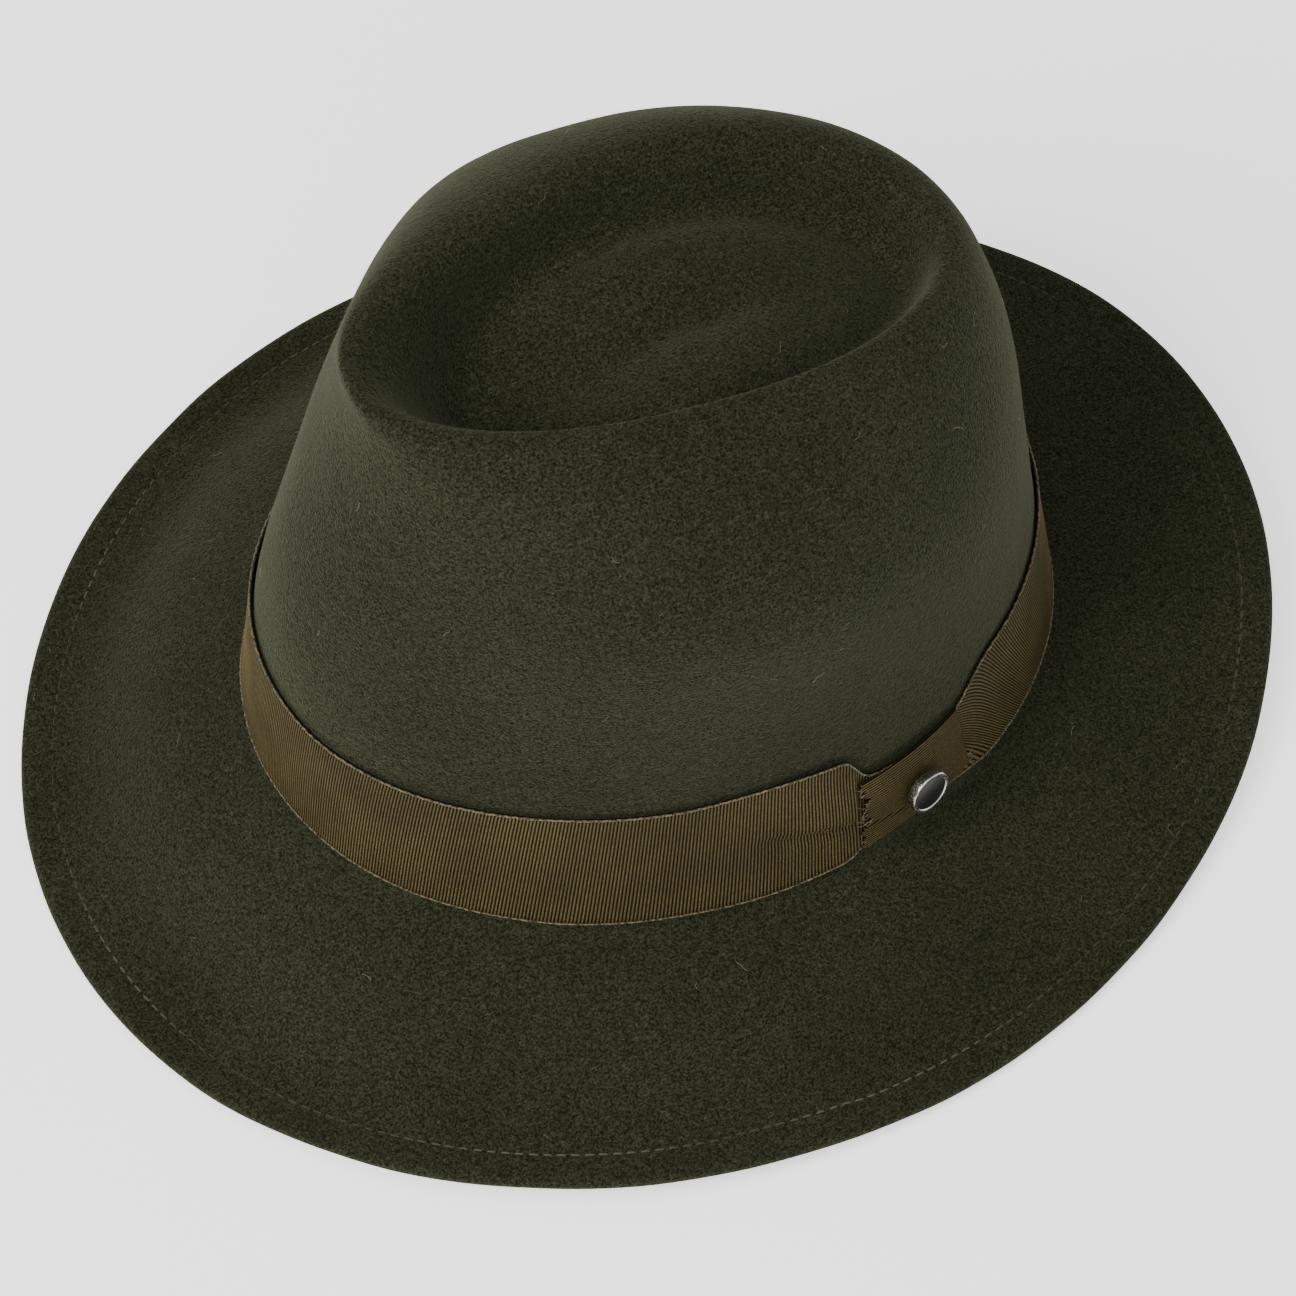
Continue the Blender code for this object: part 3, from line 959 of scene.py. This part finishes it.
@dataclass
class SewnEdge:
    """The row of stitches that holds down the brim's turned-under edge."""

    felt: bpy.types.Object
    inset: float = 8.0 * MILLIMETRE
    pitch: float = 3.3 * MILLIMETRE
    length: float = 2.3 * MILLIMETRE
    radius: float = 0.24 * MILLIMETRE
    groove: float = 0.38 * MILLIMETRE
    groove_width: float = 1.3 * MILLIMETRE

    def outline(self, count: int = 720) -> tuple[np.ndarray, np.ndarray]:
        """The brim's outer radius at each angle seen from above.

        Args:
            count: the number of angles.

        Returns:
            The angles and radii.
        """
        points = points_of(self.felt)
        angle = np.arctan2(points[:, 0], -points[:, 1]) % TURN
        radius = np.hypot(points[:, 0], points[:, 1])
        bins = 240
        index = (angle / TURN * bins).astype(int) % bins
        largest = np.zeros(bins)
        np.maximum.at(largest, index, radius)
        largest = np.mean([np.roll(largest, shift) for shift in range(-4, 5)], axis=0)
        middles = (np.arange(bins) + 0.5) * TURN / bins
        ring = np.arange(count) * TURN / count
        wide = np.concatenate([largest[-1:], largest, largest[:1]])
        spots = np.concatenate([middles[:1] - TURN / bins, middles, middles[-1:] + TURN / bins])
        return ring, np.interp(ring, spots, wide)

    def seam(self, downwards: bool) -> tuple[np.ndarray, np.ndarray]:
        """The line of the seam on one face of the brim.

        Args:
            downwards: whether the line is sought from above.

        Returns:
            The line's points and normals.
        """
        tree = BVHTree.FromObject(self.felt, bpy.context.evaluated_depsgraph_get())
        angle, radius = self.outline()
        height = 0.2 if downwards else -0.1
        way = Vector((0, 0, -1 if downwards else 1))
        places, normals = [], []
        for turn, reach in zip(angle, radius - self.inset):
            start = Vector((reach * math.sin(turn), -reach * math.cos(turn), height))
            hit, normal, _, _ = tree.ray_cast(start, way)
            places.append(hit)
            normals.append(normal)
        return np.array(places), np.array(normals)

    def press(self) -> None:
        """Presses the stitch line into the top of the brim."""
        line, _ = self.seam(True)
        points, normals = points_of(self.felt), normals_of(self.felt)
        near = np.where((np.hypot(points[:, 0], points[:, 1]) > 0.11) & (normals[:, 2] > 0.3))[0]
        gap = np.full(len(near), 1.0)
        for start in range(0, len(line), 90):
            part = line[start:start + 90]
            gap = np.minimum(gap, np.linalg.norm(points[near][:, None] - part[None], axis=2).min(axis=1))
        depth = self.groove * np.exp(-((gap / self.groove_width) ** 2))
        points[near] -= normals[near] * depth[:, None]
        move_points(self.felt, points)

    def build(self) -> bpy.types.Object:
        """Builds the stitches on both faces of the brim.

        Returns:
            The stitches.
        """
        rng = np.random.default_rng(3)
        lines = []
        for downwards in (True, False):
            line, normals = self.seam(downwards)
            line, normals = np.vstack([line, line[:1]]), np.vstack([normals, normals[:1]])
            steps = np.concatenate([[0], np.cumsum(np.linalg.norm(np.diff(line, axis=0), axis=1))])
            count = int(steps[-1] / self.pitch)
            for i in range(count):
                middle = (i + 0.5) * steps[-1] / count + rng.normal(0, 0.08) * MILLIMETRE
                spots = middle + np.linspace(-0.5, 0.5, 5) * self.length * rng.uniform(0.86, 1.1)
                path = np.stack([np.interp(spots, steps, line[:, k]) for k in range(3)], axis=1)
                up = np.stack([np.interp(spots, steps, normals[:, k]) for k in range(3)], axis=1)
                rise = np.array([-0.30, 0.08, 0.16, 0.08, -0.30])[:, None] * MILLIMETRE
                lines.append(path + up * rise)
        return tube("edge_stitches", lines, self.radius)


@dataclass
class Nap:
    """Short loose wool over the felt, and a few long stray fibres caught in it."""

    felt: bpy.types.Object
    count: int = 10000
    strays: int = 170
    root_radius: float = 0.022 * MILLIMETRE

    def scatter(self, count: int, rng: np.random.Generator) -> tuple[np.ndarray, np.ndarray]:
        """Random places on the felt that the ribbon leaves bare and that don't touch the floor.

        Args:
            count: the number of places.
            rng: the random draws.

        Returns:
            The places and their normals.
        """
        mesh = self.felt.data
        mesh.calc_loop_triangles()
        corners = np.empty(len(mesh.loop_triangles) * 3, int)
        mesh.loop_triangles.foreach_get("vertices", corners)
        triangles = points_of(self.felt)[corners.reshape(-1, 3)]
        cross = np.cross(triangles[:, 1] - triangles[:, 0], triangles[:, 2] - triangles[:, 0])
        area = np.linalg.norm(cross, axis=1)
        pick = rng.choice(len(area), count * 4, p=area / area.sum())
        a, b = np.sqrt(rng.random(count * 4)), rng.random(count * 4)
        chosen = triangles[pick]
        places = (1 - a)[:, None] * chosen[:, 0] + (a * (1 - b))[:, None] * chosen[:, 1]
        places = places + (a * b)[:, None] * chosen[:, 2]
        normals = cross[pick] / area[pick][:, None]
        upright = SIZES.upright(places)
        reach = np.hypot(upright[:, 0] / SIZES.head_width, upright[:, 1] / SIZES.head_length) * 2
        banded = (upright[:, 2] > 0) & (upright[:, 2] < 0.043) & (reach < 1.04)
        inside = (reach < 1.0) & (normals[:, 2] < -0.2)
        fine = ~banded & ~inside & (places[:, 2] > 0.003)
        return places[fine][:count], normals[fine][:count]

    def build(self) -> bpy.types.Object:
        """Builds the short fibres as thin cones of three sides.

        Returns:
            The nap.
        """
        rng = np.random.default_rng(7)
        places, normals = self.scatter(self.count, rng)
        count = len(places)
        lean = rng.normal(0, 1.0, (count, 3))
        lean -= (lean * normals).sum(axis=1, keepdims=True) * normals
        lean /= np.linalg.norm(lean, axis=1, keepdims=True)
        length = rng.uniform(0.5, 1.6, (count, 1)) * MILLIMETRE
        rise = rng.uniform(0.25, 0.9, (count, 1))
        middle = places + (normals * rise * 0.62 + lean * 0.45) * length
        tip = places + (normals * rise * 0.75 + lean * 1.0) * length
        beside = np.cross(normals, lean)
        points = []
        for centre, share in ((places - normals * 0.1 * MILLIMETRE, 1.0), (middle, 0.8)):
            for corner in range(3):
                turn = corner * TURN / 3
                spread = math.cos(turn) * beside + math.sin(turn) * normals
                points.append(centre + spread * self.root_radius * share)
        points.append(tip)
        stacked = np.stack(points, axis=1).reshape(-1, 3)
        pattern = [(0, 1, 4, 3), (1, 2, 5, 4), (2, 0, 3, 5), (3, 4, 6), (4, 5, 6), (5, 3, 6), (2, 1, 0)]
        faces = [tuple(7 * i + k for k in face) for i in range(count) for face in pattern]
        mesh = bpy.data.meshes.new("felt_nap")
        mesh.from_pydata(stacked.tolist(), [], faces)
        nap = bpy.data.objects.new("felt_nap", mesh)
        bpy.context.scene.collection.objects.link(nap)
        return nap

    def build_strays(self) -> bpy.types.Object:
        """Builds the long stray fibres.

        Returns:
            The fibres.
        """
        rng = np.random.default_rng(21)
        places, normals = self.scatter(self.strays, rng)
        lines = []
        for place, normal in zip(places, normals):
            way = np.cross(normal, rng.normal(0, 1, 3))
            way /= np.linalg.norm(way)
            side = np.cross(normal, way)
            length = rng.uniform(1.2, 4.5) * MILLIMETRE
            bend, curl = rng.uniform(-1.6, 1.6), rng.uniform(0.0, 0.9)
            steps = np.linspace(0, 1, 7)
            forward = steps - 0.25 * abs(bend) * steps ** 2
            aside = bend * 0.5 * steps ** 2 + 0.12 * curl * np.sin(steps * 9)
            up = 0.10 + 0.22 * np.sin(math.pi * steps) * rng.uniform(0.3, 1.0)
            path = place + (way * forward[:, None] + side * aside[:, None]) * length
            lines.append(path + normal * up[:, None] * MILLIMETRE)
        return tube("stray_fibres", lines, 0.028 * MILLIMETRE, sides=0)


@dataclass(frozen=True)
class Studio:
    """The pale floor, the soft lights and the photograph's camera."""

    azimuth: float = 62.815
    elevation: float = 59.598
    roll: float = 0.705
    distance: float = 1.0469
    aim: Colour = (0.0230, -0.0127, 0.06)
    lens: float = 122.24

    def build(self) -> None:
        """Builds the floor, world, lights and camera."""
        self.build_floor()
        self.build_world()
        self.add_light("key", (0.25, -1.10, 1.35), 0.8, 29.0, (1.0, 0.99, 0.97))
        self.add_light("fill", (1.2, -0.2, 1.2), 1.2, 8.0, (0.98, 0.99, 1.0))
        self.add_light("top", (0.0, -0.1, 1.9), 0.9, 11.0, (1.0, 1.0, 1.0))
        self.build_camera()

    def build_floor(self) -> None:
        """Builds the floor, which isn't part of the hat."""
        deselect_all()
        bpy.ops.mesh.primitive_plane_add(size=12.0, location=(0, 0, -0.0002))
        floor = bpy.context.object
        floor.name = "studio_floor"
        bpy.ops.object.transform_apply(location=True)
        nodes = Nodes("pale_floor")
        tone = nodes.spread(nodes.noise(3.0, 2.0), 0.3, 0.7)
        floor.data.materials.append(nodes.finish(
            Base_Color=nodes.mix(tone, (0.93, 0.93, 0.92), (0.95, 0.95, 0.945)), Roughness=0.9,
            Specular_IOR_Level=0.1, Emission_Color=(1.0, 1.0, 1.0, 1.0), Emission_Strength=1.0))

    def build_world(self) -> None:
        """Builds the even studio light."""
        world = bpy.data.worlds.new("studio_world")
        world.use_nodes = True
        world.node_tree.nodes["Background"].inputs["Color"].default_value = (1.0, 1.0, 1.0, 1.0)
        world.node_tree.nodes["Background"].inputs["Strength"].default_value = 0.42
        bpy.context.scene.world = world

    def add_light(self, name: str, place: Colour, size: float, watts: float, colour: Colour) -> None:
        """Adds a square soft light that faces the hat.

        Args:
            name: the light's name.
            place: where it hangs.
            size: the side of the square.
            watts: its power.
            colour: its colour.
        """
        lamp = bpy.data.lights.new(name, "AREA")
        lamp.size = size
        lamp.energy = watts
        lamp.color = colour
        light = bpy.data.objects.new(name, lamp)
        light.location = place
        light.rotation_euler = (Vector((0, 0, 0.07)) - Vector(place)).to_track_quat("-Z", "Y").to_euler()
        bpy.context.scene.collection.objects.link(light)

    def build_camera(self) -> None:
        """Builds the camera at the photograph's viewing angle."""
        turn, rise = math.radians(self.azimuth), math.radians(self.elevation)
        back = Vector((math.sin(turn) * math.cos(rise), -math.cos(turn) * math.cos(rise), math.sin(rise)))
        level = Vector((math.cos(turn), math.sin(turn), 0.0))
        right = Matrix.Rotation(math.radians(self.roll), 3, back) @ level
        data = bpy.data.cameras.new("photo_camera")
        data.lens = self.lens
        data.sensor_width = 36.0
        camera = bpy.data.objects.new("photo_camera", data)
        axes = Matrix((right, back.cross(right), back)).transposed()
        camera.matrix_world = Matrix.Translation(Vector(self.aim) + back * self.distance) @ axes.to_4x4()
        bpy.context.scene.collection.objects.link(camera)
        bpy.context.scene.camera = camera


def dress(piece: bpy.types.Object, material: bpy.types.Material, slot: Slot, *nodes: str) -> None:
    """Gives a piece its finish and its body, and hides the CAD nodes that it stands for.

    Args:
        piece: the finished piece.
        material: its finish.
        slot: the record's slot, not used.
        nodes: the CAD nodes that it replaces.
    """
    piece.data.materials.clear()
    piece.data.materials.append(material)
    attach(piece, BODY)
    if nodes:
        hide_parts(*nodes)
    piece.data.calc_loop_triangles()
    LOG.info("%s: %d triangles", piece.name, len(piece.data.loop_triangles))


def main() -> None:
    """Builds the hat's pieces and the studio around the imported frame."""
    logging.basicConfig(level=logging.INFO, format="%(name)s %(message)s")
    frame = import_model()
    nodes = frame["nodes"]
    felt = FeltBody(nodes["felt_body"]).build()
    surface = SurfaceTable(felt)
    edge = SewnEdge(felt)
    edge.press()
    stitches = edge.build()
    nap = Nap(felt)
    dress(felt, FeltFinish().material(), Slot.FELT, "felt_body")
    thread = FibreFinish("edge_thread", (0.014, 0.015, 0.007), (0.068, 0.066, 0.036), 14.0)
    dress(stitches, thread.material(), Slot.FELT)
    fuzz = FibreFinish("wool_fuzz", (0.020, 0.023, 0.012), (0.090, 0.092, 0.060), 900.0)
    dress(nap.build(), fuzz.material(), Slot.FELT)
    stray = FibreFinish("pale_fibre", (0.05, 0.05, 0.03), (0.30, 0.29, 0.21), 120.0)
    dress(nap.build_strays(), stray.material(), Slot.FELT)
    band = RibbonBand(surface)
    ribbon = band.build()
    dress(ribbon, RibbonFinish("ribbed_ribbon", float(band.ribs), 52.0).material(), Slot.RIBBON, "hat_band")
    edging = FibreFinish("ribbon_edge", (0.022, 0.015, 0.006), (0.16, 0.125, 0.065), 1500.0)
    dress(band.build_edges(), edging.material(), Slot.RIBBON)
    tab = KnotTab(surface)
    tab_finish = RibbonFinish("knot_ribbon", float(tab.ribs), 44.0, along_u=False)
    dress(tab.build(), tab_finish.material(), Slot.RIBBON, "band_knot")
    fray = FibreFinish("frayed_thread", (0.030, 0.022, 0.011), (0.17, 0.13, 0.07), 900.0)
    dress(tab.build_frays(), fray.material(), Slot.RIBBON)
    disc, face, post = Pin(surface).build()
    dress(disc, NickelFinish("pin_nickel", (0.50, 0.50, 0.48), 0.18, 0.32).material(), Slot.PIN, "pin_stud")
    dress(face, NickelFinish("pin_face", (0.060, 0.060, 0.057), 0.28, 0.40).material(), Slot.PIN)
    dress(post, NickelFinish("pin_steel", (0.20, 0.20, 0.20), 0.30, 0.50).material(), Slot.PIN)
    Studio().build()


if __name__ == "__main__":
    main()
